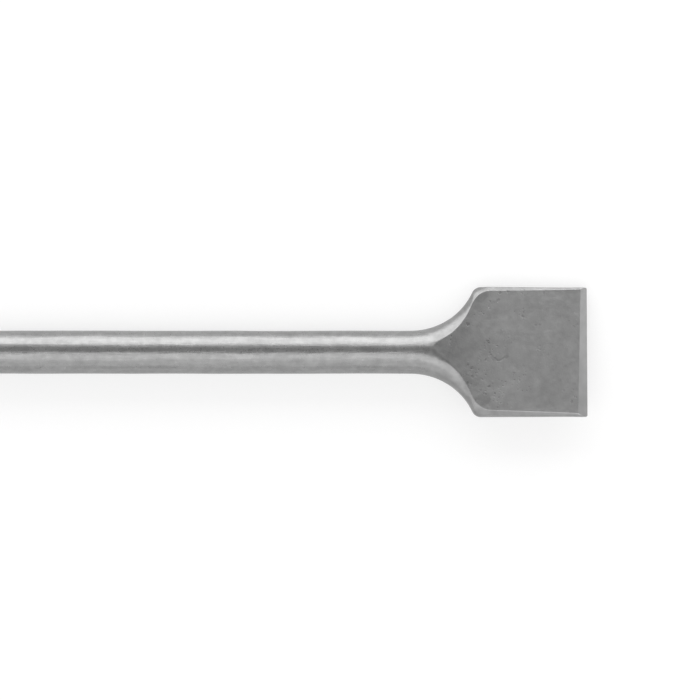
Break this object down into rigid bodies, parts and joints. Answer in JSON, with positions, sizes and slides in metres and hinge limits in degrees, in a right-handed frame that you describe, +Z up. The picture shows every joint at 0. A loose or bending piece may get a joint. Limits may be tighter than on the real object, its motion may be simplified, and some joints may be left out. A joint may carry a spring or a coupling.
{
  "type": "sds flat chisel",
  "caption": "Flat spade chisel for a rotary hammer: slotted round shank, plain round shaft, rounded shoulders and a broad tapering blade with a ground edge.",
  "frame": {"origin": "centre of the flat struck face at the shank's end", "axes": "+X along the tool's axis to the cutting edge, +Z up from the flat ground that the tool lies on, +Y level across it. The tool lies on its shaft and on one corner of its blade, so the blade is rolled 10.7 degrees about X: its +Y side is the low one"},
  "size_m": [0.25, 0.0398, 0.0132],
  "materials": {
    "forged_steel": "blasted, satin"
  },
  "bodies": {
    "root": {"chisel": "forged_steel"}
  },
  "joints": []
}
